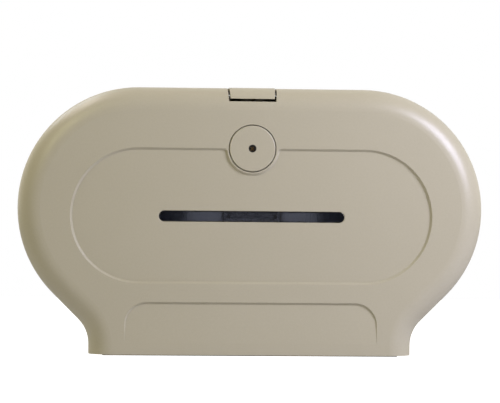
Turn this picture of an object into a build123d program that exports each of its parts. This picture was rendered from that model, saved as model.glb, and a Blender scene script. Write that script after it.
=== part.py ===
from build123d import *
from math import cos, radians, sin, sqrt, tan
import os

# Double roll toilet paper dispenser, in millimetres.
# The wall is the plane y = 0, the front faces -Y and +Z is up.
# The origin is the middle of the four wall screws, level with the centres of the housing's round ends.

# Housing outline, at the edge of the cover that lies next to the wall
housing_width = 525.0
end_radius = 137.0
foot_setback = 80.2
foot_bend_radius = 36.7
flank_angle = 45.0
housing_drop = 163.0
housing_depth = 132.0
wall_gap = 2.0
draft_angle = 1.0
shoulder_radius = 26.0
cover_wall = 3.0
overrun = 20.0

# Recessed panels in the front of the cover
panel_end_margin = 60.8
panel_top_margin = 70.2
panel_bottom_margin = 79.2
recess_depth = 2.4
recess_slope = 45.0
panel_corner_radius = 2.5
arch_side_margin = 41.9
arch_height = 58.6
arch_corner_radius = 24.5
arch_fade_height = 13.0

# Window and lens
window_end_margin = 98.25
window_height = 12.1
window_drop = 0.5
window_edge = 0.5
lens_gap = 0.25
lens_setback = 0.4
lens_edge_radius = 1.0
lens_flange_margin = 7.0
lens_flange_thickness = 1.6
stud_radius = 1.5
stud_end_inset = 18.4
stud_offset = 9.6
stud_height = 3.4
stud_hole_gap = 0.15
push_nut_radius = 3.5
push_nut_thickness = 0.8
lens_bar_length = 62.8
lens_bar_height = 14.0
lens_bar_corner_radius = 3.0
lens_bar_thickness = 2.0
lens_groove_width = 0.7
lens_groove_depth = 0.5
rivet_spread = 52.4
rivet_radius = 2.1
rivet_head_radius = 3.2
rivet_head_height = 1.0

# Lock
lock_top_margin = 70.2
lock_disc_radius = 25.7
lock_disc_gap = 0.9
lock_collar_width = 1.3
lock_pocket_depth = 7.5
lock_pocket_floor = 4.0
lock_pocket_wall = 2.5
lock_disc_thickness = 7.0
lock_disc_edge_radius = 1.2
keyhole_radius = 4.35
keyhole_depth = 5.6
lock_shaft_radius = 7.0
lock_shaft_clearance = 0.05
lock_shaft_passage = 0.6
lock_square = 9.0
lock_housing_radius = 11.0
lock_housing_flange = (62.0, 24.0)
lock_housing_flange_thickness = 2.5
lock_housing_screw_spread = 46.0
key_cross_width = 1.1
key_cross_span = 5.0
key_cross_height = 1.2
cam_thickness = 3.0
cam_reach = 27.4
cam_width = 12.0
cam_hub_radius = 9.0
cam_clearance = 0.3
cam_washer_radius = 7.5
cam_washer_thickness = 1.0

# Release button in the notch of the top edge
button_top_width = 51.6
button_bottom_width = 49.2
button_height = 14.7
button_rear_depth = 35.4
button_thickness = 3.0
button_proud = 0.6
button_side_gap = 1.9
button_rear_gap = 0.7
button_travel = 2.4
button_stop_gap = 0.7
stem_width = 24.0
stem_thickness = 3.0
stem_setback = 20.0
stem_sink = 1.5
hook_width = 16.0
hook_thickness = 3.0
hook_tooth_height = 1.7
hook_tooth_gap = 1.5
hook_tooth_thickness = 3.0
hook_clearance = 0.3
spring_radius = 3.8
spring_wire_radius = 0.45
spring_turns = 9
spring_setback = 13.5
spring_seat_radius = 4.5
spring_seat_drop = 14.5
spring_seat_rise = 6.0
spring_gap = 0.1
guide_lock_gap = 1.05
guide_floor_thickness = 2.5
guide_wall = 2.5
guide_gap = 0.5
guide_height = 13.5
guide_ear_width = 13.0
guide_ear_height = 11.0
guide_ear_thickness = 2.5
guide_front_gap = 0.5
boss_radius = 4.0
boss_height = 3.0

# Back plate
plate_gap = 1.2
plate_thickness = 3.5
rim_width = 2.5
rim_height = 8.5
rib_width = 2.0
rib_height = 5.0
rib_offset = 52.0
upper_rib_margin = 93.0
lower_rib_margin = 89.0
wall_hole_end_margin = 112.5
wall_hole_spacing_z = 130.0
wall_hole_radius = 3.0
wall_slot_length = 12.0
wall_pad_margin = 5.0
seat_height = 1.5

# Bracket that carries the strike for the lock and the release hook
bracket_top_margin = 23.0
bracket_sheet = 2.5
bracket_front_margin = 29.0
bracket_flange_height = 24.0
bracket_flange_width = 64.0
bracket_flange_lip = 10.0
bracket_side_height = 12.0
bracket_screw_margin = 6.0
strike_lock_gap = 6.2
strike_slot_width = 20.0
strike_slot_height = 10.0
strike_slot_margin = 7.0
strike_cam_gap = 1.5

# Spindles for the two rolls
spindle_end_margin = 145.0
post_flange_radius = 31.0
post_flange_thickness = 4.0
post_radius = 12.0
post_bore_radius = 8.0
post_front_margin = 27.7
post_end_wall = 8.0
post_screw_circle = 24.0
post_screw_count = 3
bush_wall = 2.0
bush_clearance = 0.05
spindle_start = 12.0
spindle_end_gap = 0.3
spindle_radius = 28.5
spindle_wall = 2.5
spindle_front_wall = 3.0
spindle_web = 2.0
spindle_web_count = 4
spindle_edge_radius = 1.2
adapter_radius = 42.7
adapter_wall = 2.4
adapter_fit = 0.1
adapter_collar_wall = 2.0
adapter_lip = 1.6
adapter_rear = 13.5
adapter_flange_radius = 49.0
adapter_flange_thickness = 2.5
adapter_edge_radius = 1.0
retainer_radius = 17.0
retainer_thickness = 2.0

# Base tray with the paper exits
tray_rise = 7.0
tray_thickness = 3.0
tray_gap = 2.0
tray_neck_margin = 15.3
tray_front_margin = 7.0
tray_flange_height = 22.0
tray_flange_margin = 17.0
tray_flange_thickness = 3.0
tray_screw_count = 4
tray_screw_end_margin = 30.0
exit_inner_edge = 48.0
exit_front_margin = 9.0
exit_rear = 20.0
exit_corner_radius = 6.0
rail_front_inset = 3.0
rail_wall = 2.0
rail_ledge = 3.5
rail_ledge_thickness = 1.7
rail_rear = 10.0
rail_end_wall = 2.0
hinge_ear_radius = 10.0
hinge_ear_clearance = 0.6
hinge_pin_radius = 3.0
hinge_pin_clearance = 0.05
hinge_pin_head_radius = 4.5
hinge_pin_head_height = 2.5
hinge_pin_reach = 9.5
hinge_pin_end_gap = 0.5
hinge_side_gap = 0.5
cheek_thickness = 4.0
cheek_radius = 11.0
cheek_rail_gap = 0.5

# Shutter under the tray
shutter_overlap = 4.0
shutter_thickness = 2.8
shutter_gap = 0.4
shutter_end_gap = 0.5
grip_length = 60.0
grip_width = 18.0
grip_height = 1.9
grip_base = 0.7
grip_ribs = 5
grip_rib_width = 2.0

# Tear bars beside the exits
tear_bar_width = 10.0
tear_bar_thickness = 1.0
tear_bar_overhang = 3.0
tear_tooth_pitch = 4.0
tear_bar_end_margin = 1.0
tear_screw_inset = 12.0

# Screws: head radius, head height, shank radius, shank length
plastic_screw = (3.5, 2.2, 1.5, 5.6)
short_screw = (3.2, 2.0, 1.4, 3.6)
end_screw = (4.6, 2.6, 2.2, 12.0)
recess_width_share = 0.22
recess_span_share = 1.1
recess_depth_share = 0.55

# Places that several pieces share
front_y = -housing_depth
inner_front_y = front_y + cover_wall
panel_inner_y = inner_front_y + recess_depth
end_centre_x = housing_width / 2 - end_radius
foot_width = housing_width - 2 * foot_setback
panel_width = housing_width - 2 * panel_end_margin
panel_top_z = end_radius - panel_top_margin
panel_bottom_z = -(housing_drop - panel_bottom_margin)
panel_height = panel_top_z - panel_bottom_z
arch_width = foot_width - 2 * arch_side_margin
arch_top_z = -(housing_drop - arch_height)
window_length = panel_width - 2 * window_end_margin
panel_z = (panel_top_z + panel_bottom_z) / 2
window_z = panel_z - window_drop
stud_spread = window_length - 2 * stud_end_inset
lock_height = end_radius - lock_top_margin
lock_pocket_radius = lock_disc_radius + lock_disc_gap
guide_floor_height = lock_height + lock_pocket_radius + lock_pocket_wall + guide_lock_gap
button_bottom_height = end_radius - button_height
spring_seat_height = end_radius - spring_seat_drop
bracket_top = end_radius - bracket_top_margin
bracket_front = housing_depth - bracket_front_margin
bracket_width = bracket_flange_width - 2 * bracket_flange_lip
bracket_screw_x = bracket_flange_width / 2 - bracket_screw_margin
strike_bottom = lock_height + lock_housing_radius + strike_lock_gap
strike_slot_top = bracket_top - strike_slot_margin
rib_rows = (end_radius - upper_rib_margin, -(housing_drop - lower_rib_margin))
wall_hole_spacing_x = housing_width - 2 * wall_hole_end_margin
spindle_spacing = housing_width - 2 * spindle_end_margin
post_reach = housing_depth - post_front_margin
spindle_end = post_reach - spindle_end_gap
adapter_front = spindle_end + adapter_lip
tray_top_drop = housing_drop - tray_rise
tray_front = housing_depth - tray_front_margin
cheek_outer_x = foot_width / 2 - tray_neck_margin
tray_flange_half_width = cheek_outer_x - tray_flange_margin
tray_screw_span = 2 * (tray_flange_half_width - tray_screw_end_margin)
exit_front = tray_front - exit_front_margin
rail_front = tray_front - rail_front_inset
hinge_y = -(wall_gap + hinge_ear_radius)
hinge_z = -(housing_drop - hinge_ear_radius)
spindle_x = spindle_spacing / 2
spindle_z = panel_z
tray_bottom_z = -(tray_top_drop + tray_thickness)
shutter_top_z = tray_bottom_z - shutter_gap
shutter_bottom_z = shutter_top_z - shutter_thickness
rail_bottom_z = shutter_bottom_z - shutter_gap - rail_ledge_thickness
rail_end_x = cheek_outer_x - cheek_thickness - cheek_rail_gap
exit_width = rail_end_x - shutter_end_gap - shutter_overlap - exit_inner_edge
shutter_width = exit_width + 2 * shutter_overlap
shutter_rest_x = exit_inner_edge + exit_width / 2
rim_floor_z = -tray_top_drop + tray_flange_height + plate_gap
pocket_floor_y = front_y + lock_pocket_depth
pocket_inner_y = pocket_floor_y + lock_pocket_floor
lock_flange_y = pocket_inner_y + lock_housing_flange_thickness
strike_back_y = -bracket_front + bracket_sheet
cam_front_y = strike_back_y + strike_cam_gap
stem_front_y = front_y + stem_setback
hook_z = strike_slot_top - hook_clearance - hook_tooth_height - hook_thickness


def box_between(low, high):
    """A block between its lowest and its highest corner."""
    size = [b - a for a, b in zip(low, high)]
    middle = [(a + b) / 2 for a, b in zip(low, high)]
    return Pos(*middle) * Box(*size)


def rod(radius, start, end, x=0.0, z=0.0):
    """A round bar along Y from depth start to depth end."""
    return Pos(x, (start + end) / 2, z) * Rot(90, 0, 0) * Cylinder(radius, abs(end - start))


def cross_rod(radius, start, end, y, z):
    """A round bar along X."""
    return Pos((start + end) / 2, y, z) * Rot(0, 90, 0) * Cylinder(radius, abs(end - start))


def upright_rod(radius, start, end, x, y):
    """A round bar along Z."""
    return Pos(x, y, (start + end) / 2) * Cylinder(radius, abs(end - start))


def forward(face, start, end, taper=0.0):
    """A flat shape drawn in X and Z, thickened from depth start to depth end."""
    way = 1 if end > start else -1
    return extrude(Pos(0, start, 0) * face, amount=abs(end - start), dir=(0, way, 0), taper=taper)


def slot_face(length, height, x=0.0, z=0.0):
    return Pos(x, 0, z) * (Plane.XZ * SlotOverall(length, height))


def plate_face(width, height, x=0.0, z=0.0):
    return Pos(x, 0, z) * (Plane.XZ * Rectangle(width, height))


def outline_face(inset, drop):
    """The housing seen from the front, drawn in all round by inset, and cut flat at its foot."""
    across, down = cos(radians(flank_angle)), sin(radians(flank_angle))
    radius, half_foot, bend = end_radius - inset, foot_width / 2 - inset, foot_bend_radius + inset
    bend_x = foot_width / 2 + foot_bend_radius
    bend_z = -(end_radius + foot_bend_radius - (bend_x - end_centre_x) * across) / down
    with BuildLine(Plane.XZ) as line:
        Line((0, radius), (end_centre_x, radius))
        CenterArc((end_centre_x, 0), radius, -flank_angle, 90 + flank_angle)
        Line(
            (end_centre_x + radius * across, -radius * down),
            (bend_x - bend * across, bend_z + bend * down),
        )
        CenterArc((bend_x, bend_z), bend, 180 - flank_angle, flank_angle)
        Line((half_foot, bend_z), (half_foot, -drop))
        Line((half_foot, -drop), (0, -drop))
        mirror(about=Plane.YZ)
    return make_face(line.edges())


def housing_block(inset, rear, front, shoulder):
    """The housing's whole shape, drawn in by inset, with its front edges rounded. Its foot runs on down."""
    local = inset - (rear + wall_gap) * tan(radians(draft_angle))
    drop = housing_drop + 2 * overrun
    block = forward(outline_face(local, drop), rear, front, taper=draft_angle)
    face = block.faces().sort_by(Axis.Y)[0]
    low = face.edges().sort_by(Axis.Z)[0]
    return fillet([edge for edge in face.edges() if edge != low], shoulder)


def screw(size, x, y, z, axis):
    """A pan head screw with a cross recess. Its head's seat is at x, y, z and its shank runs along axis."""
    head_radius, head_height, shank_radius, length = size
    head = Pos(0, 0, -head_height / 2) * Cylinder(head_radius, head_height)
    head = fillet(head.edges().sort_by(Axis.Z)[0], head_height / 2)
    body = head + Pos(0, 0, length / 2) * Cylinder(shank_radius, length)
    span, width = head_radius * recess_span_share, head_radius * recess_width_share
    deep = head_height * recess_depth_share
    for turn in (0, 90):
        body -= Pos(0, 0, -head_height + deep / 2) * Rot(0, 0, turn) * Box(span, width, deep)
    return Plane(origin=(x, y, z), z_dir=axis).location * body


def drilled(body, size, x, y, z, axis):
    """The body with the hole that a screw of this size leaves in it."""
    hole = Pos(0, 0, size[3] / 2) * Cylinder(size[2], size[3])
    return body - Plane(origin=(x, y, z), z_dir=axis).location * hole


def recess_cutter(face):
    """A shallow pocket with sloping sides, from its floor out past the front of the cover."""
    floor_y = front_y + recess_depth
    return forward(face, floor_y, floor_y - 2 * recess_depth, taper=-recess_slope)


def panel_face():
    """The big recess's floor: round ends, and a bite out of its top edge for the lock's collar."""
    slope = recess_depth * tan(radians(recess_slope))
    face = slot_face(panel_width - 2 * slope, panel_height - 2 * slope, z=panel_z)
    collar = lock_pocket_radius + lock_collar_width + slope
    face -= Pos(0, 0, lock_height) * (Plane.XZ * Circle(collar))
    top = panel_top_z - slope
    corners = [v for v in face.vertices() if abs(v.Z - top) < slope and abs(v.X) < 2 * collar]
    corners = [v for v in corners if abs(v.X) < collar]
    return fillet(corners, panel_corner_radius)


def arch_face(grow=0.0):
    slope = recess_depth * tan(radians(recess_slope)) - grow
    top = arch_top_z - slope
    bottom = -(housing_drop + overrun)
    face = plate_face(arch_width - 2 * slope, top - bottom, z=(top + bottom) / 2)
    return fillet(face.vertices().sort_by(Axis.Z)[-2:], arch_corner_radius - slope)


def arch_cutter():
    """The recess above the foot. It is deep at its top edge and runs out before the lower edge."""
    fade_z = -(housing_drop - arch_fade_height)
    profile = Polyline(
        (front_y - overrun, arch_top_z + overrun),
        (front_y + recess_depth, arch_top_z + overrun),
        (front_y + recess_depth, arch_top_z),
        (front_y, fade_z),
        (front_y - overrun, fade_z),
        close=True,
    )
    wedge = extrude(Plane.YZ * make_face(profile), amount=arch_width, both=True)
    return recess_cutter(arch_face()) & wedge


def notch_face(gap, rise):
    """The thumb tab's tapering outline, seen from the front, grown by gap at its sides."""
    bottom = button_bottom_height - rise
    top = end_radius + overrun
    lean = (button_top_width - button_bottom_width) / 2 / (end_radius - button_bottom_height)
    half_low = button_bottom_width / 2 - lean * rise + gap
    half_high = button_top_width / 2 + gap
    points = ((half_low, bottom), (half_high, end_radius), (half_high, top))
    mirrored = [(-x, z) for x, z in reversed(points)]
    return Plane.XZ * make_face(Polyline(*points, *mirrored, close=True))


def hinge_corner_cutter():
    """What the lower rear corners of the cover lose, so that they turn about the hinge clear of the wall."""
    block = box_between(
        (-housing_width / 2, hinge_y, -housing_drop - overrun),
        (housing_width / 2, overrun, hinge_z),
    )
    return block - cross_rod(hinge_ear_radius, -housing_width / 2, housing_width / 2, hinge_y, hinge_z)


def stud_places():
    return [(x * stud_spread / 2, window_z + z * stud_offset) for x in (-1, 1) for z in (-1, 1)]


def cover_shell():
    """The moulded cover, open at its back and its foot."""
    outside = housing_block(0.0, -wall_gap, front_y, shoulder_radius)
    inside = housing_block(cover_wall, overrun, inner_front_y, shoulder_radius - cover_wall)
    shell = outside - inside
    backing = forward(slot_face(panel_width, panel_height, z=panel_z), inner_front_y, panel_inner_y)
    backing += forward(arch_face(recess_depth), inner_front_y, panel_inner_y) & outside
    shell += backing
    shell += rod(lock_pocket_radius + lock_pocket_wall, inner_front_y, pocket_inner_y, z=lock_height)
    boss_x = guide_boss_x()
    for side in (-1, 1):
        shell += rod(boss_radius, inner_front_y, guide_seat_y(), side * boss_x, guide_screw_z())
        ear_start = cheek_outer_x + hinge_side_gap
        ear_end = foot_width / 2 - cover_wall / 2
        shell += cross_rod(hinge_ear_radius, side * ear_start, side * ear_end, hinge_y, hinge_z)
    for x, z in stud_places():
        shell += rod(stud_radius, panel_inner_y, panel_inner_y + stud_height, x, z)
    shell -= recess_cutter(panel_face())
    shell -= arch_cutter()
    shell -= rod(lock_pocket_radius, front_y - overrun, pocket_floor_y, z=lock_height)
    shell -= rod(lock_shaft_radius + lock_shaft_passage, front_y, pocket_inner_y, z=lock_height)
    shell -= forward(slot_face(window_length, window_height, z=window_z), front_y, panel_inner_y)
    rim = slot_face(window_length, window_height, z=window_z)
    floor_y = front_y + recess_depth
    shell -= forward(rim, floor_y + window_edge, floor_y - window_edge, taper=-recess_slope)
    drop = button_travel + button_stop_gap
    rear = front_y + button_rear_depth + button_rear_gap
    shell -= forward(notch_face(button_side_gap, drop), front_y - overrun, rear)
    shell -= box_between(
        (-housing_width, -2 * housing_depth, -housing_drop - 3 * overrun),
        (housing_width, overrun, -housing_drop),
    )
    shell -= hinge_corner_cutter()
    for side in (-1, 1):
        start = cheek_outer_x + hinge_side_gap
        hole = hinge_pin_radius + hinge_pin_clearance
        end = cheek_outer_x + hinge_pin_reach + hinge_pin_end_gap
        shell -= cross_rod(hole, side * start, side * end, hinge_y, hinge_z)
        ear_y = guide_seat_y() + guide_ear_thickness
        shell = drilled(shell, short_screw, side * boss_x, ear_y, guide_screw_z(), (0, -1, 0))
        screw_x = side * lock_housing_screw_spread / 2
        shell = drilled(shell, short_screw, screw_x, lock_flange_y, lock_height, (0, -1, 0))
    return shell


def guide_boss_x():
    return stem_width / 2 + guide_gap + guide_wall + guide_ear_width / 2


def guide_screw_z():
    return guide_floor_height + guide_ear_height / 2


def guide_seat_y():
    return inner_front_y + boss_height


def window_lens():
    """The smoke lens: a raised stadium that fills the slot, on a flange behind the wall."""
    front = front_y + recess_depth + lens_setback
    gap = 2 * lens_gap
    raised = slot_face(window_length - gap, window_height - gap, z=window_z)
    raised = forward(raised, panel_inner_y, front)
    raised = fillet(raised.faces().sort_by(Axis.Y)[0].edges(), lens_edge_radius)
    margin = 2 * lens_flange_margin
    flange = forward(
        slot_face(window_length + margin, window_height + margin, z=window_z),
        panel_inner_y,
        panel_inner_y + lens_flange_thickness,
    )
    lens = raised + flange
    for x, z in stud_places():
        lens -= rod(stud_radius + stud_hole_gap, panel_inner_y, panel_inner_y + stud_height, x, z)
    for x, z in rivet_places():
        lens -= rod(rivet_radius, front, panel_inner_y + stud_height, x, z)
    groove = lens_bar_face(lens_groove_width) - lens_bar_face(0.0)
    return lens - forward(groove, front, front + lens_groove_depth)


def lens_bar_face(grow):
    """The bar's outline, which a fine groove in the front of the lens follows."""
    length, height = lens_bar_length + 2 * grow, lens_bar_height + 2 * grow
    face = Plane.XZ * RectangleRounded(length, height, lens_bar_corner_radius + grow)
    return Pos(0, 0, window_z) * face


def rivet_places():
    return [(-rivet_spread / 2, window_z), (rivet_spread / 2, window_z)]


def lens_bar():
    """The stiffening bar behind the lens."""
    rear_y = panel_inner_y + lens_flange_thickness
    bar = forward(lens_bar_face(0.0), rear_y, rear_y + lens_bar_thickness)
    for x, z in rivet_places():
        bar -= rod(rivet_radius, rear_y, rear_y + lens_bar_thickness, x, z)
    return bar


def lens_rivets():
    front = front_y + recess_depth + lens_setback
    rear = panel_inner_y + lens_flange_thickness + lens_bar_thickness
    rivets = []
    for x, z in rivet_places():
        shank = rod(rivet_radius, front, rear, x, z)
        rivets.append(shank + rod(rivet_head_radius, rear, rear + rivet_head_height, x, z))
    return rivets


def lens_push_nuts():
    """Spring nuts pushed on the cover's studs, which hold the lens."""
    start = panel_inner_y + lens_flange_thickness
    nuts = []
    for x, z in stud_places():
        nut = rod(push_nut_radius, start, start + push_nut_thickness, x, z)
        nuts.append(nut - rod(stud_radius, start, start + push_nut_thickness, x, z))
    return nuts


def lock_housing():
    """The flanged sleeve behind the lock disc, in which the shaft turns."""
    length, height = lock_housing_flange
    flange = forward(slot_face(length, height, z=lock_height), pocket_inner_y, lock_flange_y)
    sleeve_end = cam_front_y - cam_clearance
    body = flange + rod(lock_housing_radius, lock_flange_y, sleeve_end, z=lock_height)
    bore = lock_shaft_radius + lock_shaft_clearance
    body -= rod(bore, pocket_inner_y, sleeve_end, z=lock_height)
    for side in (-1, 1):
        x = side * lock_housing_screw_spread / 2
        body = drilled(body, short_screw, x, lock_flange_y, lock_height, (0, -1, 0))
    return body


def lock_housing_screws():
    return [
        screw(short_screw, side * lock_housing_screw_spread / 2, lock_flange_y, lock_height, (0, -1, 0))
        for side in (-1, 1)
    ]


def lock_disc():
    disc = rod(lock_disc_radius, front_y, front_y + lock_disc_thickness, z=lock_height)
    disc = fillet(disc.faces().sort_by(Axis.Y)[0].edges(), lock_disc_edge_radius)
    disc -= rod(keyhole_radius, front_y, front_y + keyhole_depth, z=lock_height)
    disc -= rod(lock_shaft_radius, front_y + keyhole_depth, front_y + lock_disc_thickness, z=lock_height)
    return disc


def lock_shaft():
    start = front_y + keyhole_depth
    square_y = cam_front_y
    shaft = rod(lock_shaft_radius, start, square_y, z=lock_height)
    half = lock_square / 2
    shaft += box_between(
        (-half, square_y, lock_height - half), (half, square_y + cam_thickness, lock_height + half)
    )
    end_y = square_y + cam_thickness + cam_washer_thickness
    return drilled(shaft, end_screw, 0, end_y, lock_height, (0, -1, 0))


def key_socket():
    """The small raised cross that the key grips, at the bottom of the keyhole."""
    start = front_y + keyhole_depth
    cross = None
    for turn in (45, -45):
        bar = Box(key_cross_span, key_cross_height, key_cross_width)
        bar = Pos(0, start - key_cross_height / 2, lock_height) * Rot(0, turn, 0) * bar
        cross = bar if cross is None else cross + bar
    return cross


def lock_cam():
    """The arm that swings up behind the strike. At rest it points to one side, unlocked."""
    end = cam_front_y + cam_thickness
    cam = rod(cam_hub_radius, cam_front_y, end, z=lock_height)
    tip_x = -(cam_reach - cam_width / 2)
    cam += rod(cam_width / 2, cam_front_y, end, tip_x, lock_height)
    cam += box_between(
        (tip_x, cam_front_y, lock_height - cam_width / 2), (0, end, lock_height + cam_width / 2)
    )
    half = lock_square / 2
    return cam - box_between((-half, cam_front_y, lock_height - half), (half, end, lock_height + half))


def cam_washer():
    start = cam_front_y + cam_thickness
    washer = rod(cam_washer_radius, start, start + cam_washer_thickness, z=lock_height)
    return washer - rod(end_screw[2], start, start + cam_washer_thickness, z=lock_height)


def cam_screw():
    end_y = cam_front_y + cam_thickness + cam_washer_thickness
    return screw(end_screw, 0, end_y, lock_height, (0, -1, 0))


def latch_button():
    """The thumb tab in the cover's top edge, with its stem and the hook that reaches the bracket."""
    proud = button_proud
    outer = housing_block(-proud, -wall_gap, front_y - proud, shoulder_radius + proud)
    inset = button_thickness - button_proud
    inner = housing_block(inset, 0.0, front_y + inset, shoulder_radius - inset)
    rear = front_y + button_rear_depth
    pad = (outer - inner) & forward(notch_face(0.0, 0.0), front_y - overrun, rear)
    stem_back_y = stem_front_y + stem_thickness
    crest = front_y + shoulder_radius
    drop = shoulder_radius - sqrt(shoulder_radius**2 - (crest - stem_front_y) ** 2)
    front_radius = end_radius - (-front_y - wall_gap - shoulder_radius) * tan(radians(draft_angle))
    stem_top = front_radius - drop - stem_sink
    half = stem_width / 2
    button = pad + box_between((-half, stem_front_y, hook_z), (half, stem_back_y, stem_top))
    half = hook_width / 2
    tooth_back = strike_back_y + hook_tooth_gap + hook_tooth_thickness
    top = hook_z + hook_thickness
    button += box_between((-half, stem_front_y, hook_z), (half, tooth_back, top))
    tooth_front = tooth_back - hook_tooth_thickness
    button += box_between((-half, tooth_front, hook_z), (half, tooth_back, top + hook_tooth_height))
    spring_y = front_y + spring_setback
    seat_top = spring_seat_height + spring_seat_rise
    button += upright_rod(spring_seat_radius, spring_seat_height, seat_top, 0, spring_y)
    return button


def button_spring():
    bottom = guide_floor_height + guide_floor_thickness + spring_wire_radius + spring_gap
    top = spring_seat_height - spring_wire_radius - spring_gap
    path = Helix((top - bottom) / spring_turns, top - bottom, spring_radius)
    profile = Plane(origin=path @ 0, z_dir=path % 0) * Circle(spring_wire_radius)
    return Pos(0, front_y + spring_setback, bottom) * sweep(profile, path=path, is_frenet=True)


def button_guide():
    """The channel behind the front wall in which the stem slides. The spring stands on its floor."""
    half = stem_width / 2 + guide_gap
    front = inner_front_y + guide_front_gap
    floor_top = guide_floor_height + guide_floor_thickness
    shelf_back = stem_front_y - guide_gap
    guide = box_between((-half, front, guide_floor_height), (half, shelf_back, floor_top))
    web_back = stem_front_y + stem_thickness
    top = guide_floor_height + guide_height
    ear_top = guide_floor_height + guide_ear_height
    for side in (-1, 1):
        inner, outer = sorted((side * half, side * (half + guide_wall)))
        guide += box_between((inner, front, guide_floor_height), (outer, web_back, top))
        inner, outer = sorted((side * half, side * (half + guide_wall + guide_ear_width)))
        seat = guide_seat_y()
        ear_y = seat + guide_ear_thickness
        guide += box_between((inner, seat, guide_floor_height), (outer, ear_y, ear_top))
        guide = drilled(guide, short_screw, side * guide_boss_x(), ear_y, guide_screw_z(), (0, -1, 0))
    return guide


def button_guide_screws():
    y = guide_seat_y() + guide_ear_thickness
    return [screw(short_screw, side * guide_boss_x(), y, guide_screw_z(), (0, -1, 0)) for side in (-1, 1)]


def wall_hole_places():
    return [
        (x * wall_hole_spacing_x / 2, z * wall_hole_spacing_z / 2) for x in (-1, 1) for z in (-1, 1)
    ]


def post_screw_places(side):
    places = []
    for i in range(post_screw_count):
        angle = radians(90 + 360 * i / post_screw_count)
        x = side * spindle_x + post_screw_circle * cos(angle)
        places.append((x, spindle_z + post_screw_circle * sin(angle)))
    return places


def bracket_screw_places():
    z = bracket_top - bracket_flange_height / 2
    return [(side * bracket_screw_x, z) for side in (-1, 1)]


def back_plate():
    """The moulded chassis plate on the wall, with a rim, ribs, seats and the wall slots."""
    inset = cover_wall + plate_gap
    bottom = housing_drop - plate_gap
    outline = outline_face(inset, bottom)
    plate = forward(outline, 0.0, -plate_thickness)
    ring = outline - outline_face(inset + rim_width, bottom)
    rim = forward(ring, -plate_thickness, -(plate_thickness + rim_height))
    rim -= box_between(
        (-housing_width, -housing_depth, -housing_drop - overrun), (housing_width, 0, rim_floor_z)
    )
    plate += rim
    rib_front = -(plate_thickness + rib_height)
    ribs = None
    for x in (-rib_offset, rib_offset):
        rib = box_between(
            (x - rib_width / 2, rib_front, rim_floor_z), (x + rib_width / 2, -plate_thickness, end_radius)
        )
        ribs = rib if ribs is None else ribs + rib
    for z in rib_rows:
        ribs += box_between(
            (-housing_width / 2, rib_front, z - rib_width / 2),
            (housing_width / 2, -plate_thickness, z + rib_width / 2),
        )
    clear = bracket_flange_width / 2 + rib_width
    ribs -= box_between((-clear, -housing_depth, rib_rows[0] + overrun), (clear, 0, housing_width))
    plate += ribs & forward(outline, 0.0, -housing_depth)
    seat_y = -(plate_thickness + seat_height)
    pad_radius = post_flange_radius + wall_pad_margin
    for side in (-1, 1):
        seat = rod(pad_radius, 0.0, rib_front, side * spindle_x, spindle_z)
        plate -= seat - rod(pad_radius, 0.0, -plate_thickness, side * spindle_x, spindle_z)
        plate += rod(pad_radius, -plate_thickness, seat_y, side * spindle_x, spindle_z)
        for x, z in post_screw_places(side):
            plate = drilled(plate, plastic_screw, x, seat_y - post_flange_thickness, z, (0, 1, 0))
        corner_x = sorted((side * (cheek_outer_x + hinge_side_gap), side * housing_width))
        plate -= box_between(
            (corner_x[0], -housing_depth, -housing_drop - overrun),
            (corner_x[1], overrun, hinge_z + hinge_ear_radius + hinge_ear_clearance),
        )
    for x, z in wall_hole_places():
        pad_height = 2 * (wall_hole_radius + wall_pad_margin)
        pad = slot_face(wall_slot_length + 2 * wall_pad_margin, pad_height, x, z)
        plate += forward(pad, -plate_thickness, seat_y)
        plate -= forward(slot_face(wall_slot_length, 2 * wall_hole_radius, x, z), overrun, -overrun)
    for x, z in bracket_screw_places():
        plate = drilled(plate, short_screw, x, -(plate_thickness + bracket_sheet), z, (0, 1, 0))
    for x in tray_screw_places():
        flange_y = -(plate_thickness + tray_flange_thickness)
        plate = drilled(plate, short_screw, x, flange_y, tray_screw_z(), (0, 1, 0))
    return plate


def tray_screw_places():
    pitch = tray_screw_span / (tray_screw_count - 1)
    return [i * pitch - tray_screw_span / 2 for i in range(tray_screw_count)]


def tray_screw_z():
    return -tray_top_drop + tray_flange_height / 2


def latch_bracket():
    """The bent steel bracket over the gap between the rolls. The lock and the hook catch its front lip."""
    half, back = bracket_width / 2, -plate_thickness
    plate_bottom = bracket_top - bracket_sheet
    body = box_between((-half, -bracket_front, plate_bottom), (half, back, bracket_top))
    body += box_between((-half, -bracket_front, strike_bottom), (half, strike_back_y, bracket_top))
    flange_half = bracket_flange_width / 2
    body += box_between(
        (-flange_half, back - bracket_sheet, bracket_top - bracket_flange_height),
        (flange_half, back, bracket_top),
    )
    for side in (-1, 1):
        inner, outer = sorted((side * (half - bracket_sheet), side * half))
        body += box_between(
            (inner, -bracket_front, bracket_top - bracket_side_height), (outer, back, bracket_top)
        )
    slot_half = strike_slot_width / 2
    body -= box_between(
        (-slot_half, -bracket_front, strike_slot_top - strike_slot_height),
        (slot_half, strike_back_y, strike_slot_top),
    )
    for x, z in bracket_screw_places():
        body = drilled(body, short_screw, x, back - bracket_sheet, z, (0, 1, 0))
    return body


def bracket_screws():
    y = -(plate_thickness + bracket_sheet)
    return [screw(short_screw, x, y, z, (0, 1, 0)) for x, z in bracket_screw_places()]


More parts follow.
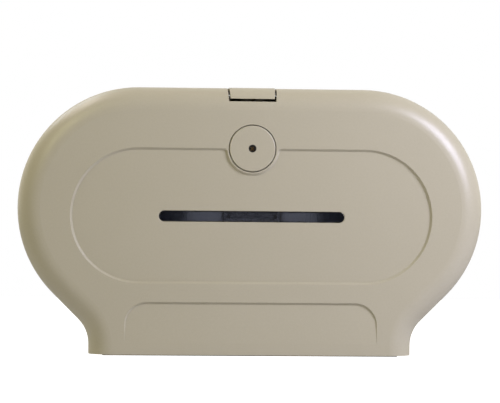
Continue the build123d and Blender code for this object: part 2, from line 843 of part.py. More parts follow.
def spindle_post(side):
    """The fixed tube that a spindle turns on."""
    x, z = side * spindle_x, spindle_z
    seat_y = -(plate_thickness + seat_height)
    flange_y = seat_y - post_flange_thickness
    post = rod(post_flange_radius, seat_y, flange_y, x, z) + rod(post_radius, flange_y, -post_reach, x, z)
    post -= rod(post_bore_radius, 0.0, -(post_reach - post_end_wall), x, z)
    post = drilled(post, end_screw, x, -(post_reach + retainer_thickness), z, (0, 1, 0))
    for hole_x, hole_z in post_screw_places(side):
        post = drilled(post, plastic_screw, hole_x, flange_y, hole_z, (0, 1, 0))
    return post


def post_screws():
    y = -(plate_thickness + seat_height + post_flange_thickness)
    places = post_screw_places(-1) + post_screw_places(1)
    return [screw(plastic_screw, x, y, z, (0, 1, 0)) for x, z in places]


def bush_radius():
    return post_radius + bush_clearance + bush_wall


def spindle_bush(side):
    """The plain bearing pressed into a spindle, running on its post."""
    x, z = side * spindle_x, spindle_z
    bush = rod(bush_radius(), -spindle_start, -spindle_end, x, z)
    return bush - rod(post_radius + bush_clearance, -spindle_start, -spindle_end, x, z)


def spindle(side):
    """A hollow core spindle with a closed front, an inner tube and webs between them."""
    x, z = side * spindle_x, spindle_z
    body = rod(spindle_radius, -spindle_start, -spindle_end, x, z)
    body = fillet(body.faces().sort_by(Axis.Y)[0].edges(), spindle_edge_radius)
    hollow = rod(spindle_radius - spindle_wall, -spindle_start, -(spindle_end - spindle_front_wall), x, z)
    hollow -= rod(bush_radius() + spindle_wall, 0.0, -spindle_end, x, z)
    for i in range(spindle_web_count):
        web = Box(2 * spindle_radius, 2 * spindle_end, spindle_web)
        hollow -= Pos(x, -spindle_end, z) * Rot(0, 180 * i / spindle_web_count, 0) * web
    return body - hollow - rod(bush_radius(), 0.0, -spindle_end, x, z)


def core_adapter(side):
    """The sleeve that makes a spindle fit the wide core of a big roll."""
    x, z = side * spindle_x, spindle_z
    bore = spindle_radius + adapter_fit
    body = rod(adapter_radius, -adapter_rear, -adapter_front, x, z)
    body = fillet(body.faces().sort_by(Axis.Y)[0].edges(), adapter_edge_radius)
    hollow = rod(adapter_radius - adapter_wall, 0.0, -(adapter_front - adapter_wall), x, z)
    hollow -= rod(bore + adapter_collar_wall, 0.0, -adapter_front, x, z)
    for i in range(spindle_web_count):
        web = Box(2 * adapter_radius, 2 * adapter_front, spindle_web)
        hollow -= Pos(x, -adapter_front, z) * Rot(0, 180 * i / spindle_web_count, 0) * web
    body -= hollow
    body += rod(adapter_flange_radius, -adapter_rear, -(adapter_rear + adapter_flange_thickness), x, z)
    return body - rod(bore, 0.0, -adapter_front, x, z)


def retainers():
    rings = []
    for side in (-1, 1):
        x, z, end = side * spindle_x, spindle_z, -(post_reach + retainer_thickness)
        ring = rod(retainer_radius, -post_reach, end, x, z)
        rings.append(ring - rod(end_screw[2], -post_reach, end, x, z))
    return rings


def retainer_screws():
    y = -(post_reach + retainer_thickness)
    return [screw(end_screw, side * spindle_x, y, spindle_z, (0, 1, 0)) for side in (-1, 1)]


def exit_cutter(side):
    x = side * (exit_inner_edge + exit_width / 2)
    middle = -(exit_front + exit_rear) / 2
    block = Pos(x, middle, -tray_top_drop) * Box(exit_width, exit_front - exit_rear, 2 * overrun)
    return fillet(block.edges().filter_by(Axis.Z), exit_corner_radius)


def shutter_rail(wall_y, ledge_y, way):
    """One of the two rails under the tray, with the ledge that carries the shutter's edge."""
    wall = sorted((wall_y, wall_y + way * rail_wall))
    ledge = sorted((wall_y, ledge_y))
    rail = box_between((-rail_end_x, wall[0], rail_bottom_z), (rail_end_x, wall[1], tray_bottom_z))
    return rail + box_between(
        (-rail_end_x, ledge[0], rail_bottom_z), (rail_end_x, ledge[1], rail_bottom_z + rail_ledge_thickness)
    )


def base_tray():
    """The floor of the housing, with two paper exits, the shutter's rails and the hinge cheeks."""
    neck_y = hinge_y - cheek_radius - hinge_side_gap
    inset = cover_wall + tray_gap
    inside = housing_block(inset, 0.0, front_y + inset, shoulder_radius - inset)
    tray = box_between(
        (-housing_width / 2, -tray_front, tray_bottom_z), (housing_width / 2, neck_y, -tray_top_drop)
    )
    tray &= inside
    tray += box_between(
        (-cheek_outer_x, neck_y, tray_bottom_z), (cheek_outer_x, -plate_thickness, -tray_top_drop)
    )
    flange_top = -tray_top_drop + tray_flange_height
    tray += box_between(
        (-tray_flange_half_width, -(plate_thickness + tray_flange_thickness), tray_bottom_z),
        (tray_flange_half_width, -plate_thickness, flange_top),
    )
    front_wall = -(rail_front - rail_wall)
    rear_wall = -(rail_rear + rail_wall)
    tray += shutter_rail(-rail_front, front_wall + rail_ledge, 1)
    tray += shutter_rail(-rail_rear, rear_wall - rail_ledge, -1)
    for side in (-1, 1):
        inner, outer = sorted((side * rail_end_x, side * (rail_end_x + rail_end_wall)))
        tray += box_between((inner, -rail_front, rail_bottom_z), (outer, -rail_rear, tray_bottom_z))
        inner, outer = sorted((side * (cheek_outer_x - cheek_thickness), side * cheek_outer_x))
        cheek = box_between(
            (inner, hinge_y - cheek_radius, tray_bottom_z), (outer, -plate_thickness, hinge_z)
        )
        cheek += cross_rod(cheek_radius, inner, outer, hinge_y, hinge_z)
        cheek &= box_between(
            (inner, hinge_y - cheek_radius, tray_bottom_z), (outer, -plate_thickness, hinge_z + cheek_radius)
        )
        tray += cheek
        tray -= cross_rod(hinge_pin_radius, inner, outer, hinge_y, hinge_z)
        head_start = cheek_outer_x - cheek_thickness
        head_end = head_start - hinge_pin_head_height - hinge_side_gap
        head_room = hinge_pin_head_radius + hinge_side_gap
        tray -= cross_rod(head_room, side * head_end, side * head_start, hinge_y, hinge_z)
        tray -= exit_cutter(side)
        for y in tear_screw_depths():
            place = (side * tear_screw_x(), y, -tray_top_drop + tear_bar_thickness)
            tray = drilled(tray, tear_screw_size(), *place, (0, 0, -1))
    for x in tray_screw_places():
        y = -(plate_thickness + tray_flange_thickness)
        tray = drilled(tray, short_screw, x, y, tray_screw_z(), (0, 1, 0))
    return tray


def tray_screws():
    y = -(plate_thickness + tray_flange_thickness)
    return [screw(short_screw, x, y, tray_screw_z(), (0, 1, 0)) for x in tray_screw_places()]


def tear_screw_x():
    return exit_inner_edge - tear_bar_width / 2


def tear_screw_depths():
    return (-(exit_rear + tear_screw_inset), -(exit_front - tear_screw_inset))


def tear_screw_size():
    return (short_screw[0], short_screw[1], short_screw[2], tray_thickness)


def tear_bar(side):
    """A steel strip on the tray whose row of teeth stands out over the exit's inner edge."""
    start = -(exit_front - tear_bar_end_margin)
    count = int((exit_front - exit_rear - 2 * tear_bar_end_margin) / tear_tooth_pitch)
    inner, root = exit_inner_edge - tear_bar_width, exit_inner_edge
    points = [(inner, start), (root, start)]
    for i in range(count):
        points.append((root + tear_bar_overhang, start + (i + 1 / 2) * tear_tooth_pitch))
        points.append((root, start + (i + 1) * tear_tooth_pitch))
    points.append((inner, start + count * tear_tooth_pitch))
    face = make_face(Polyline(*[(side * x, y) for x, y in points], close=True))
    bar = extrude(Pos(0, 0, -tray_top_drop) * face, amount=tear_bar_thickness, dir=(0, 0, 1))
    for y in tear_screw_depths():
        place = (side * tear_screw_x(), y, -tray_top_drop + tear_bar_thickness)
        bar = drilled(bar, tear_screw_size(), *place, (0, 0, -1))
    return bar


def tear_bar_screws():
    z = -tray_top_drop + tear_bar_thickness
    return [
        screw(tear_screw_size(), side * tear_screw_x(), y, z, (0, 0, -1))
        for side in (-1, 1)
        for y in tear_screw_depths()
    ]


def hinge_pin(side):
    """A headed pin pressed through the tray's cheek from inside. The cover's ear turns on its end."""
    seat = cheek_outer_x - cheek_thickness
    tip = cheek_outer_x + hinge_pin_reach
    pin = cross_rod(hinge_pin_radius, side * seat, side * tip, hinge_y, hinge_z)
    head_end = seat - hinge_pin_head_height
    head = cross_rod(hinge_pin_head_radius, side * head_end, side * seat, hinge_y, hinge_z)
    return pin + head


def shutter_plate():
    """The sliding door that covers one exit, at rest under the left one."""
    front = -(rail_front - rail_wall) + shutter_gap
    rear = -(rail_rear + rail_wall) - shutter_gap
    left = -shutter_rest_x - shutter_width / 2
    return box_between((left, front, shutter_bottom_z), (left + shutter_width, rear, shutter_top_z))


def shutter_grip():
    """The ribbed pad on the shutter's underside."""
    middle = -(exit_front + exit_rear) / 2
    top = shutter_bottom_z
    grip = box_between(
        (-shutter_rest_x - grip_width / 2, middle - grip_length / 2, top - grip_base),
        (-shutter_rest_x + grip_width / 2, middle + grip_length / 2, top),
    )
    pitch = (grip_width - grip_rib_width) / (grip_ribs - 1)
    for i in range(grip_ribs):
        x = -shutter_rest_x - grip_width / 2 + i * pitch
        grip += box_between(
            (x, middle - grip_length / 2, top - grip_height),
            (x + grip_rib_width, middle + grip_length / 2, top),
        )
    return grip


def save(name, shape):
    """Writes one piece, or one group of like pieces, as a STEP file."""
    shapes = shape if isinstance(shape, list) else [shape]
    solids = [solid for item in shapes for solid in item.solids()]
    export_step(Compound(children=solids) if len(solids) > 1 else solids[0], f"parts/{name}.step")


os.makedirs("parts", exist_ok=True)
save("cover_shell", cover_shell())
save("window_lens", window_lens())
save("lens_bar", lens_bar())
save("lens_rivets", lens_rivets())
save("lens_push_nuts", lens_push_nuts())
save("lock_housing", lock_housing())
save("lock_housing_screws", lock_housing_screws())
save("lock_disc", lock_disc())
save("lock_shaft", lock_shaft())
save("key_socket", key_socket())
save("lock_cam", lock_cam())
save("cam_washer", cam_washer())
save("cam_screw", cam_screw())
save("latch_button", latch_button())
save("button_spring", button_spring())
save("button_guide", button_guide())
save("button_guide_screws", button_guide_screws())
save("back_plate", back_plate())
save("latch_bracket", latch_bracket())
save("bracket_screws", bracket_screws())
save("post_screws", post_screws())
save("retainers", retainers())
save("retainer_screws", retainer_screws())
save("base_tray", base_tray())
save("tray_screws", tray_screws())
save("tear_bar_screws", tear_bar_screws())
save("shutter_plate", shutter_plate())
save("shutter_grip", shutter_grip())
for side, word in ((-1, "left"), (1, "right")):
    save(f"{word}_post", spindle_post(side))
    save(f"{word}_bush", spindle_bush(side))
    save(f"{word}_spindle", spindle(side))
    save(f"{word}_core_adapter", core_adapter(side))
    save(f"{word}_tear_bar", tear_bar(side))
    save(f"{word}_hinge_pin", hinge_pin(side))
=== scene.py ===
from itertools import count
from math import cos, pi, radians, sin

import bmesh
import bpy
from mathutils import Matrix, Vector


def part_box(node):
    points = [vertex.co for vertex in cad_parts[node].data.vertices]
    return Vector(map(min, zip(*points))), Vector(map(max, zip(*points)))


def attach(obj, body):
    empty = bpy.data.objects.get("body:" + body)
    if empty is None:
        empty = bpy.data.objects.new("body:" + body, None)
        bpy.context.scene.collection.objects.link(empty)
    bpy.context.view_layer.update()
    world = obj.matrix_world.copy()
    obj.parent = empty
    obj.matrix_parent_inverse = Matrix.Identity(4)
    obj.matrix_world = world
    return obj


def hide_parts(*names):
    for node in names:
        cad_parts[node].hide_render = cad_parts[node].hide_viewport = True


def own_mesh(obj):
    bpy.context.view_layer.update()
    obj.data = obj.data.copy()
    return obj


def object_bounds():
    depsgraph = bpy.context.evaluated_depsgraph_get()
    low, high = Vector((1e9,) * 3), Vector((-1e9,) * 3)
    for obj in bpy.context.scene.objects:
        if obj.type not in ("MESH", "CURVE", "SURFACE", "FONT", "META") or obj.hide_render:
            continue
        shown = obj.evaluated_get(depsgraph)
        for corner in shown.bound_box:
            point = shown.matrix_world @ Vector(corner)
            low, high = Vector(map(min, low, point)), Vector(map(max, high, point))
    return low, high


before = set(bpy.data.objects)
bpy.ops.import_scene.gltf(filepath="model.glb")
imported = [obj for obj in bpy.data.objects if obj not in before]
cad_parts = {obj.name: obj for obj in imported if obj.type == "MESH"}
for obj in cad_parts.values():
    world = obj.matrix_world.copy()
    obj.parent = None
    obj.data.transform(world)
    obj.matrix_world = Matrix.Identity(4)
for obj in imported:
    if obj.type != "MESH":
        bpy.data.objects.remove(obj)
cad_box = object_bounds()

# Back plate
# The chassis is one flat moulding in pale beige plastic, with a rim, ribs and raised seats. Four
# wall screws through its slots hold it, and everything else is fixed to it.


class Wire:
    """A socket of a node that gives a value, so that sums can be written with it."""

    def __init__(self, maker, socket):
        self.maker = maker
        self.socket = socket

    def join(self, operation, first, second):
        return self.maker.node("ShaderNodeMath", {"operation": operation}, {0: first, 1: second})

    def __add__(self, other):
        return self.join("ADD", self, other)

    def __sub__(self, other):
        return self.join("SUBTRACT", self, other)

    def __rsub__(self, other):
        return self.join("SUBTRACT", other, self)

    def __mul__(self, other):
        return self.join("MULTIPLY", self, other)

    def __truediv__(self, other):
        return self.join("DIVIDE", self, other)

    def __pow__(self, other):
        return self.join("POWER", self, other)

    __radd__ = __add__

    def swing(self, width):
        """A value from 0 to 1 as one that swings about nought, this far from end to end."""
        return (self - 0.5) * width


class Nodes:
    """A tree of nodes while it is built. Every node in it comes from node."""

    def node(self, kind, settings=None, sockets=None, output=0):
        """A new node's output. Settings are its own values, and sockets take values or wires."""
        made = self.tree.nodes.new(kind)
        for name, value in (settings or {}).items():
            setattr(made, name, value)
        for name, value in (sockets or {}).items():
            if isinstance(value, (Wire, list)):
                for wire in value if isinstance(value, list) else [value]:
                    self.tree.links.new(wire.socket, made.inputs[name])
            else:
                made.inputs[name].default_value = value
        return Wire(self, made.outputs[output]) if made.outputs else None


class Finish(Nodes):
    """A material, or the studio round the object."""

    def __init__(self, owner):
        self.owner = owner
        owner.use_nodes = True
        self.tree = owner.node_tree
        self.tree.nodes.clear()
        self.place = self.node("ShaderNodeTexCoord", output="Object")

    def noise(self, size, detail=2.0, stretch=(1, 1, 1)):
        """Soft random spots of about this size, from 0 to 1. Stretch lengthens them along an axis."""
        scale = tuple(1 / (size * s) for s in stretch)
        at = self.node("ShaderNodeMapping", None, {"Vector": self.place, "Scale": scale})
        sockets = {"Vector": at, "Scale": 1.0, "Detail": detail}
        return self.node("ShaderNodeTexNoise", None, sockets, output="Fac")

    def clamp(self, value, low, high):
        """Spreads the range from low to high over 0 to 1. Low may be the higher one."""
        sockets = {"Value": value, "From Min": low, "From Max": high}
        return self.node("ShaderNodeMapRange", {"clamp": True}, sockets, output="Result")

    def tone(self, colour, share):
        """A colour made lighter or darker by a share that changes over the surface."""
        sockets = {0: colour, "Scale": share}
        return self.node("ShaderNodeVectorMath", {"operation": "SCALE"}, sockets)

    def mix(self, share, first, second):
        """From the first colour to the second as share goes from 0 to 1."""
        first, second = (x if isinstance(x, Wire) else (*x, 1) for x in (first, second))
        sockets = {0: share, 6: first, 7: second}
        return self.node("ShaderNodeMix", {"data_type": "RGBA"}, sockets, output=2)

    def rounded(self, edge):
        """The surface's normal with sharp edges rounded to this radius."""
        return self.node("ShaderNodeBevel", {"samples": 4}, {"Radius": edge})

    def relief(self, height, depth, edge):
        """The rounded normal with a fine relief on it."""
        rounded = self.rounded(edge)
        sockets = {"Strength": 1.0, "Distance": depth, "Height": height, "Normal": rounded}
        return self.node("ShaderNodeBump", None, sockets)

    def surface(self, sockets):
        """Ends a material with its shader."""
        shader = self.node("ShaderNodeBsdfPrincipled", None, sockets)
        self.node("ShaderNodeOutputMaterial", None, {"Surface": shader})
        return self.owner


grain_size = 0.7e-3
grain_depth = 0.02e-3
grain_dulling = 0.06
speck_size = 2.2e-3
cloud_size = 0.09
handling_size = 0.03
handling_dulling = 0.08
moulded_edge = 0.35e-3


def moulded(name, colour, roughness, clouds=0.05, specks=0.05, shine=0.5):
    """Moulded plastic: a fine eroded grain, faint clouds and specks of colour, and soft edges."""
    finish = Finish(bpy.data.materials.new(name))
    grain = finish.noise(grain_size, detail=1.0)
    share = 1 + finish.noise(cloud_size).swing(clouds)
    share += finish.noise(speck_size, detail=1.0).swing(specks)
    handled = finish.noise(handling_size).swing(handling_dulling)
    return finish.surface({
        "Base Color": finish.tone(colour, share),
        "Roughness": roughness + handled + grain.swing(grain_dulling),
        "Specular IOR Level": shine,
        "Normal": finish.relief(grain, grain_depth, moulded_edge),
    })


def dress(material, *names):
    """Gives CAD nodes their finish."""
    for name in names:
        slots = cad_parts[name].data.materials
        slots.clear()
        slots.append(material)


chassis_plastic = moulded("chassis_plastic", (0.50, 0.46, 0.36), 0.45)
dress(chassis_plastic, "back_plate")

# Latch bracket
# A strip of sheet steel, bent into a shelf with a lip at its front. Two screws hold its flange on
# the plate. All small screws have pan heads with a cross recess, and are plated.
line_width = 0.25e-3
line_depth = 0.01e-3
line_tone = 0.18
line_dulling = 0.2
stain_size = 0.02
stain_tone = 0.1
stain_dulling = 0.15
sheet_edge = 0.2e-3


def sheet_metal(name, colour, roughness, along):
    """Rolled sheet: long fine lines along the way that it was rolled, and faint cloudy stains."""
    finish = Finish(bpy.data.materials.new(name))
    lines = finish.noise(line_width, stretch=along)
    stains = finish.noise(stain_size, detail=3.0)
    share = 1 + lines.swing(line_tone) + stains.swing(stain_tone)
    return finish.surface({
        "Base Color": finish.tone(colour, share),
        "Metallic": 1.0,
        "Roughness": roughness + lines.swing(line_dulling) + stains.swing(stain_dulling),
        "Normal": finish.relief(lines, line_depth, sheet_edge),
    })


sheet_steel = sheet_metal("sheet_steel", (0.60, 0.60, 0.59), 0.34, (60, 1, 1))
dress(sheet_steel, "latch_bracket")

tint_size = 6e-3
tint_range = (0.35, 0.65)
tint_dulling = 0.06
spot_size = 0.8e-3
spot_range = (0.58, 0.7)
spot_dulling = 0.2
spot_depth = 0.01e-3
plated_edge = 0.15e-3


def plated(name, colour, tint, roughness):
    """Plating over steel, with a faint second tint in clouds and small dull spots."""
    finish = Finish(bpy.data.materials.new(name))
    clouds = finish.clamp(finish.noise(tint_size, detail=3.0), *tint_range)
    spots = finish.clamp(finish.noise(spot_size), *spot_range)
    return finish.surface({
        "Base Color": finish.mix(clouds, colour, tint),
        "Metallic": 1.0,
        "Roughness": roughness + spots * spot_dulling + clouds * tint_dulling,
        "Normal": finish.relief(spots, spot_depth, plated_edge),
    })


plated_steel = plated("plated_steel", (0.66, 0.67, 0.68), (0.70, 0.67, 0.58), 0.26)


class Pattern(Nodes):
    """A Geometry Nodes tree that makes something on the points it is given. It has named inputs."""

    def __init__(self, name, inputs):
        self.tree = bpy.data.node_groups.new(name, "GeometryNodeTree")
        self.labels = {}
        sockets = self.tree.interface
        sockets.new_socket("Result", in_out="OUTPUT", socket_type="NodeSocketGeometry")
        for label, kind in {"Points": "Geometry", **inputs, "Finish": "Material"}.items():
            made = sockets.new_socket(label, in_out="INPUT", socket_type="NodeSocket" + kind)
            self.labels[label] = made.identifier
        given = self.tree.nodes.new("NodeGroupInput").outputs
        self.given = {label: Wire(self, given[label]) for label in self.labels}

    def shift(self, piece, z=None, turn=(0, 0, 0), scale=(1, 1, 1)):
        """The piece raised by z, turned and stretched."""
        sockets = {"Geometry": piece, "Rotation": turn, "Scale": scale}
        if z is not None:
            sockets["Translation"] = self.node("ShaderNodeCombineXYZ", None, {"Z": z})
        return self.node("GeometryNodeTransform", None, sockets)

    def close(self, pieces):
        """Ends the tree: all the pieces as one plain mesh, with their finish."""
        pieces = self.node("GeometryNodeRealizeInstances", None, {"Geometry": pieces})
        sockets = {"Geometry": pieces, "Material": self.given["Finish"]}
        pieces = self.node("GeometryNodeSetMaterial", None, sockets)
        self.node("NodeGroupOutput", None, {0: pieces})


screw_sizes = ("Head radius", "Head height", "Shank radius", "Shank length")
screw_sides = 28
head_rings = 8

# The head's form, as shares of its own sizes, and the power that its crown's curve follows
recess_length = 1.02
recess_taper = 0.4
recess_width = 0.24
recess_depth = 0.62
recess_rise = 1.1
head_drop = 0.5
head_curve = 1.4
shank_overlap = 0.2


def screw_pattern():
    """A pan head screw with a cross recess on each point, left at some angle by the driver."""
    inputs = {**dict.fromkeys(screw_sizes, "Float"), "Way": "Vector", "Seed": "Int"}
    tree = Pattern("pan_screws", inputs)
    radius, height, thin, length = (tree.given[label] for label in screw_sizes)

    shape = {"Vertices": screw_sides, "Side Segments": 1, "Fill Segments": head_rings}
    shape.update({"Radius": radius, "Depth": height})
    head = tree.node("GeometryNodeMeshCylinder", {"fill_type": "TRIANGLE_FAN"}, shape)
    head = tree.shift(head, height * 0.5)
    at = tree.node("GeometryNodeInputPosition")
    x, y, z = (tree.node("ShaderNodeSeparateXYZ", None, {0: at}, output=axis) for axis in range(3))
    outward = (x * x + y * y) / (radius * radius)
    drop = tree.node("ShaderNodeCombineXYZ", None, {"Z": z * outward ** head_curve * -head_drop})
    head = tree.node("GeometryNodeSetPosition", None, {"Geometry": head, "Offset": drop})

    top = radius * recess_length
    shape = {"Vertices": 4, "Radius Top": top, "Radius Bottom": top * recess_taper}
    shape["Depth"] = height * (recess_depth * 2)
    wedge = tree.shift(tree.node("GeometryNodeMeshCone", None, shape), turn=(0, 0, pi / 4))
    wedge = tree.shift(wedge, height * recess_rise, scale=(1, recess_width, 1))
    for turn in (0, pi / 2):
        cut = tree.shift(wedge, turn=(0, 0, turn))
        sockets = {"Mesh 1": head, "Mesh 2": cut}
        head = tree.node("GeometryNodeMeshBoolean", {"operation": "DIFFERENCE"}, sockets)

    shape = {"Vertices": screw_sides, "Radius": thin, "Depth": length + height * shank_overlap}
    shank = tree.node("GeometryNodeMeshCylinder", None, shape)
    shank = tree.shift(shank, (height * shank_overlap - length) * 0.5)
    screw = tree.node("GeometryNodeJoinGeometry", None, {0: [head, shank]})

    chance = {2: 0.0, 3: pi / 2, "Seed": tree.given["Seed"]}
    angle = tree.node("FunctionNodeRandomValue", {"data_type": "FLOAT"}, chance, output=1)
    sockets = {"Axis": (0, 0, 1), "Angle": angle}
    spin = tree.node("FunctionNodeAxisAngleToRotation", None, sockets)
    sockets = {0: tree.given["Way"], "Scale": -1.0}
    back = tree.node("ShaderNodeVectorMath", {"operation": "SCALE"}, sockets)
    stand = tree.node("FunctionNodeAlignRotationToVector", {"axis": "Z"}, {"Vector": back})
    sockets = {0: stand, 1: spin}
    stand = tree.node("FunctionNodeRotateRotation", {"rotation_space": "LOCAL"}, sockets)
    sockets = {"Points": tree.given["Points"], "Instance": screw, "Rotation": stand}
    tree.close(tree.node("GeometryNodeInstanceOnPoints", None, sockets))
    return tree


pan_screw = screw_pattern()
smooth_angle = radians(35)


def grown(name, tree, points, values, finish):
    """The plain mesh that a pattern makes on these points, as a new piece."""
    start = bpy.data.meshes.new(name + "_points")
    start.from_pydata(points, [], [])
    piece = bpy.data.objects.new(name, start)
    bpy.context.scene.collection.objects.link(piece)
    modifier = piece.modifiers.new("pattern", "NODES")
    modifier.node_group = tree.tree
    for label, value in {**values, "Finish": finish}.items():
        modifier[tree.labels[label]] = value
    made = piece.evaluated_get(bpy.context.evaluated_depsgraph_get())
    mesh = bpy.data.meshes.new_from_object(made)
    piece.modifiers.remove(modifier)
    mesh.name = name
    piece.data = mesh
    mesh.shade_smooth()
    mesh.set_sharp_from_angle(angle=smooth_angle)
    return piece


same_place = 1e-6


def separate_solids(node):
    """The corners of each separate solid of a CAD node, from a copy of its mesh."""
    bm = bmesh.new()
    bm.from_mesh(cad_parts[node].data)
    bmesh.ops.remove_doubles(bm, verts=bm.verts, dist=same_place)
    solids, seen = [], set()
    for first in bm.verts:
        if first in seen:
            continue
        seen.add(first)
        solid = [first]
        for corner in solid:
            near = {edge.other_vert(corner) for edge in corner.link_edges} - seen
            seen |= near
            solid.extend(near)
        solids.append([corner.co.copy() for corner in solid])
    bm.free()
    return solids


# In the order of screw_sizes
short_screw = (3.2e-3, 2.0e-3, 1.4e-3, 3.6e-3)
plastic_screw = (3.5e-3, 2.2e-3, 1.5e-3, 5.6e-3)
end_screw = (4.6e-3, 2.6e-3, 2.2e-3, 12.0e-3)
tear_screw = (3.2e-3, 2.0e-3, 1.4e-3, 3.0e-3)
screw_seeds = count(5)


def pan_screws(node, body, size, way):
    """Finely made screws in place of a CAD node's. Way is the direction that their shanks go in."""
    way = Vector(way)
    seats = []
    for solid in separate_solids(node):
        low, high = (Vector(f(c[i] for c in solid) for i in range(3)) for f in (min, max))
        middle = (low + high) / 2
        seat = min(c.dot(way) for c in solid) + size[1]
        seats.append(middle + way * (seat - middle.dot(way)))
    values = {**dict(zip(screw_sizes, size)), "Way": way, "Seed": next(screw_seeds)}
    piece = grown(node.replace("screw", "pan_screw"), pan_screw, seats, values, plated_steel)
    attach(piece, body)
    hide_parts(node)


pan_screws("bracket_screws", "chassis", short_screw, (0, 1, 0))

# Posts, spindles and core adapters
# Each roll turns on a black spindle that runs on a grey post by a pressed bush. A wide black sleeve
# over the spindle fits the big cores, and a disc with a screw keeps all of it on the post.
grey_plastic = moulded("grey_plastic", (0.22, 0.22, 0.23), 0.5)
white_plastic = moulded("white_plastic", (0.76, 0.76, 0.73), 0.4)
black_plastic = moulded("black_plastic", (0.012, 0.012, 0.013), 0.42)
dress(grey_plastic, "left_post", "right_post", "retainers")
dress(white_plastic, "left_bush", "right_bush")
dress(black_plastic, "left_spindle", "right_spindle", "left_core_adapter", "right_core_adapter")
pan_screws("post_screws", "chassis", plastic_screw, (0, 1, 0))
pan_screws("retainer_screws", "chassis", end_screw, (0, 1, 0))

# Base tray
# The bottom of the housing is a dark moulding with two paper exits and a shutter that slides
# between them. Serrated steel tear bars are screwed on beside the exits.
dark_plastic = moulded("dark_plastic", (0.055, 0.048, 0.04), 0.5)
dress(dark_plastic, "base_tray", "shutter_plate", "shutter_grip")
dress(sheet_steel, "left_tear_bar", "right_tear_bar")
pan_screws("tray_screws", "chassis", short_screw, (0, 1, 0))
pan_screws("tear_bar_screws", "chassis", tear_screw, (0, 0, -1))

# Cover
# The whole front is one deep moulding in beige plastic with a fine grain. It has a recessed panel
# round the window, a second one above the foot, and hinges on two pins at its lower rear corners.
cover_plastic = moulded("cover_plastic", (0.40, 0.368, 0.266), 0.36, clouds=0.03, specks=0.07)
dress(cover_plastic, "cover_shell")
dress(plated_steel, "left_hinge_pin", "right_hinge_pin")

# Button
# The tab at the top is pressed down to free the cover. It slides in a guide that two screws hold
# behind the front, and a coil spring of oiled wire lifts it again.
dress(cover_plastic, "latch_button")
dress(chassis_plastic, "button_guide")
pan_screws("button_guide_screws", "cover", short_screw, (0, -1, 0))
oiled_steel = plated("oiled_steel", (0.06, 0.055, 0.05), (0.10, 0.085, 0.07), 0.32)
wire_radius = 0.45e-3
wire_sides = 10
coil_radius = 3.8e-3
coil_turns = 7.5
coil_steps = 36


def coil_pattern():
    """A compression spring on each point: open turns, with a closed ring of wire at both ends."""
    labels = ("Coil radius", "Wire radius", "Height", "Turns")
    tree = Pattern("coil_spring", dict.fromkeys(labels, "Float"))
    radius, wire, height, turns = (tree.given[label] for label in labels)
    ring_height = wire * 2
    shape = {"Resolution": coil_steps, "Rotations": turns, "Height": height - ring_height * 2}
    shape.update({"Start Radius": radius, "End Radius": radius})
    open_turns = tree.shift(tree.node("GeometryNodeCurveSpiral", None, shape), ring_height)
    shape = {"Resolution": coil_steps, "Radius": radius}
    ring = tree.node("GeometryNodeCurvePrimitiveCircle", None, shape)
    rings = [tree.shift(ring, wire), tree.shift(ring, height - wire)]
    line = tree.node("GeometryNodeJoinGeometry", None, {0: [open_turns, *rings]})
    shape = {"Resolution": wire_sides, "Radius": wire}
    section = tree.node("GeometryNodeCurvePrimitiveCircle", None, shape)
    sockets = {"Curve": line, "Profile Curve": section, "Fill Caps": True}
    spring = tree.node("GeometryNodeCurveToMesh", None, sockets)
    sockets = {"Points": tree.given["Points"], "Instance": spring}
    tree.close(tree.node("GeometryNodeInstanceOnPoints", None, sockets))
    return tree


low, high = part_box("button_spring")
coil_height = high.z - low.z
coil_seat = Vector(((low.x + high.x) / 2, (low.y + high.y) / 2, low.z))
coil_values = {
    "Coil radius": coil_radius,
    "Wire radius": wire_radius,
    "Height": coil_height,
    "Turns": coil_turns,
}
coil = grown("button_coil_spring", coil_pattern(), [coil_seat], coil_values, oiled_steel)
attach(coil, "cover")
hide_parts("button_spring")
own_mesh(coil)

# Window
# A strip of clear smoke plastic, held behind the slot by spring nuts. A grey stiffening bar is
# riveted across the middle of its back, with a black rivet near either end.
smear_size = 0.012
smear_tone = 0.2
smear_opacity = 0.04
lens_edge = 0.3e-3
bar_haze_edge = 0.4e-3
bar_line_width = 1.1e-3
bar_line_edge = 0.2e-3
side_haze_start = 1.0e-3
side_haze_end = 6.5e-3

# How rough the lens is, and how much each kind of mark adds to it
lens_roughness = 0.04
smear_dulling = 0.05
bar_haze_dulling = 0.13
side_haze_dulling = 0.12
bar_line_dulling = 0.5


def smoke(name, colour, opacity, bar_end):
    """Clear tinted plastic with faint smears. It is hazy over the bar, which matt lines end."""
    finish = Finish(bpy.data.materials.new(name))
    smears = finish.noise(smear_size, detail=3.0, stretch=(4, 1, 1))
    across = finish.node("ShaderNodeSeparateXYZ", None, {0: finish.place})
    across = finish.node("ShaderNodeMath", {"operation": "ABSOLUTE"}, {0: across})
    line_end = bar_end + bar_line_width
    bar_haze = finish.clamp(across, bar_end + bar_haze_edge, bar_end - bar_haze_edge)
    past_bar = finish.clamp(across, bar_end - bar_line_edge, bar_end + bar_line_edge)
    past_line = finish.clamp(across, line_end - bar_line_edge, line_end + bar_line_edge)
    side_haze = finish.clamp(across, bar_end + side_haze_end, bar_end + side_haze_start)
    rough = lens_roughness + smears * smear_dulling + bar_haze * bar_haze_dulling
    rough += past_bar * side_haze * side_haze_dulling
    rough += past_bar * (1 - past_line) * bar_line_dulling
    return finish.surface({
        "Base Color": finish.tone(colour, 1 + smears.swing(smear_tone)),
        "Roughness": rough,
        "Alpha": opacity + smears.swing(smear_opacity),
        "Normal": finish.rounded(lens_edge),
    })


